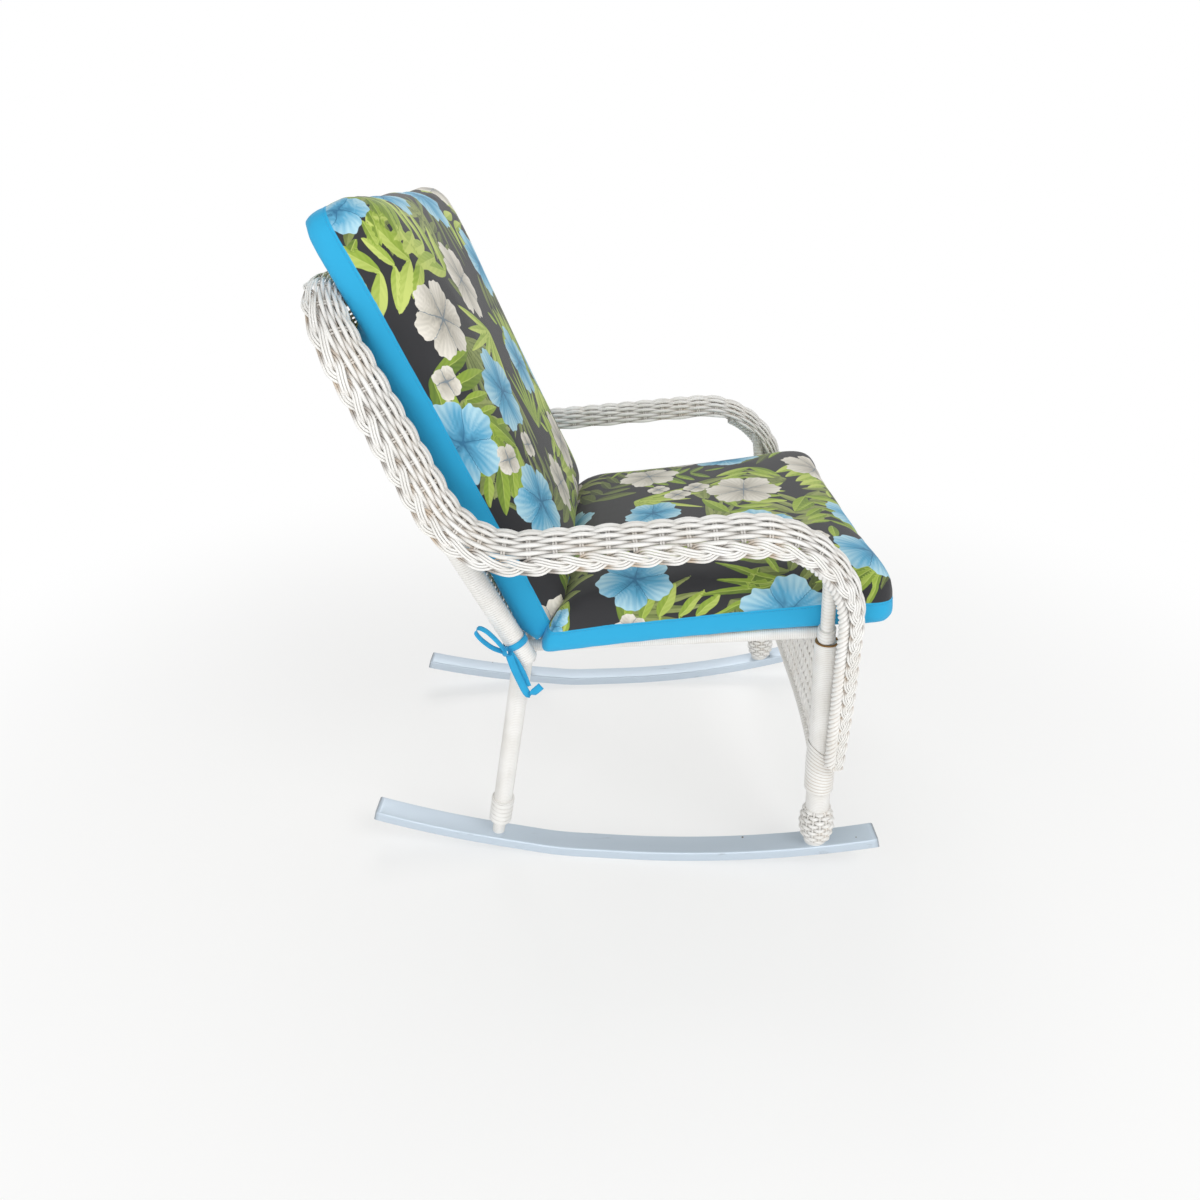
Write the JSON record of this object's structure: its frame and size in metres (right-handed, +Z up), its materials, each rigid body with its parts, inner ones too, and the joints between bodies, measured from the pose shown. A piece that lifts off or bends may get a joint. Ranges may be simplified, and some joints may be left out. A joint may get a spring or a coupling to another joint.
{
  "type": "rattan rocking chair",
  "caption": "Rattan rocking chair with rolled woven arms and back, wrapped legs on curved flat rockers and a padded seat-and-back cushion that folds at its crease.",
  "frame": {"origin": "on the floor, in the middle of the chair's bounding box seen from above", "axes": "+Z up, -Y the way the sitter faces, +X to the sitter's left"},
  "size_m": [0.7082, 0.7986, 0.9624],
  "materials": {
    "white_rattan": "white paint on woven and wrapped rattan, satin",
    "rocker_paint": "silver-grey paint, satin",
    "plug_grey": "moulded grey plastic",
    "bolt_zinc": "zinc plated",
    "print_cotton": "printed cotton canvas over fibre fill",
    "blue_cotton": "plain cotton canvas"
  },
  "bodies": {
    "chair": {"rocker_rail_left": "rocker_paint", "rocker_rail_right": "rocker_paint", "rocker_plug_front_left": "plug_grey", "rocker_plug_front_right": "plug_grey", "rocker_plug_rear_left": "plug_grey", "rocker_plug_rear_right": "plug_grey", "rocker_bolt_front_left": "bolt_zinc", "rocker_bolt_front_right": "bolt_zinc", "rocker_bolt_rear_left": "bolt_zinc", "rocker_bolt_rear_right": "bolt_zinc", "front_leg_left": "white_rattan", "front_leg_right": "white_rattan", "ball_foot_left": "white_rattan", "ball_foot_right": "white_rattan", "front_leg_binding_left": "white_rattan", "front_leg_binding_right": "white_rattan", "arm_post_left": "white_rattan", "arm_post_right": "white_rattan", "arm_post_binding_left": "white_rattan", "arm_post_binding_right": "white_rattan", "rear_leg_left": "white_rattan", "rear_leg_right": "white_rattan", "rear_leg_collar_left": "white_rattan", "rear_leg_collar_right": "white_rattan", "seat_rail_front": "white_rattan", "seat_rail_rear": "white_rattan", "seat_rail_left": "white_rattan", "seat_rail_right": "white_rattan", "seat_rail_cross": "white_rattan", "seat_deck": "white_rattan", "apron_weave": "white_rattan", "apron_edge": "white_rattan", "arm_core_left": "white_rattan", "arm_core_right": "white_rattan", "side_roll_left": "white_rattan", "side_roll_right": "white_rattan", "side_braid_left": "white_rattan", "side_braid_right": "white_rattan", "top_roll": "white_rattan", "top_braid": "white_rattan", "back_hoop": "white_rattan", "back_panel": "white_rattan", "seat_cushion": "print_cotton", "cushion_tie_left": "blue_cotton", "cushion_tie_right": "blue_cotton"},
    "back_pad": {"back_cushion": "print_cotton"}
  },
  "joints": [
    {"name": "back_cushion_fold", "type": "hinge", "parent": "chair", "child": "back_pad", "pos_m": [0, 0.0892, 0.434], "axis": [1, 0, 0], "range_deg": [0, 40]}
  ]
}
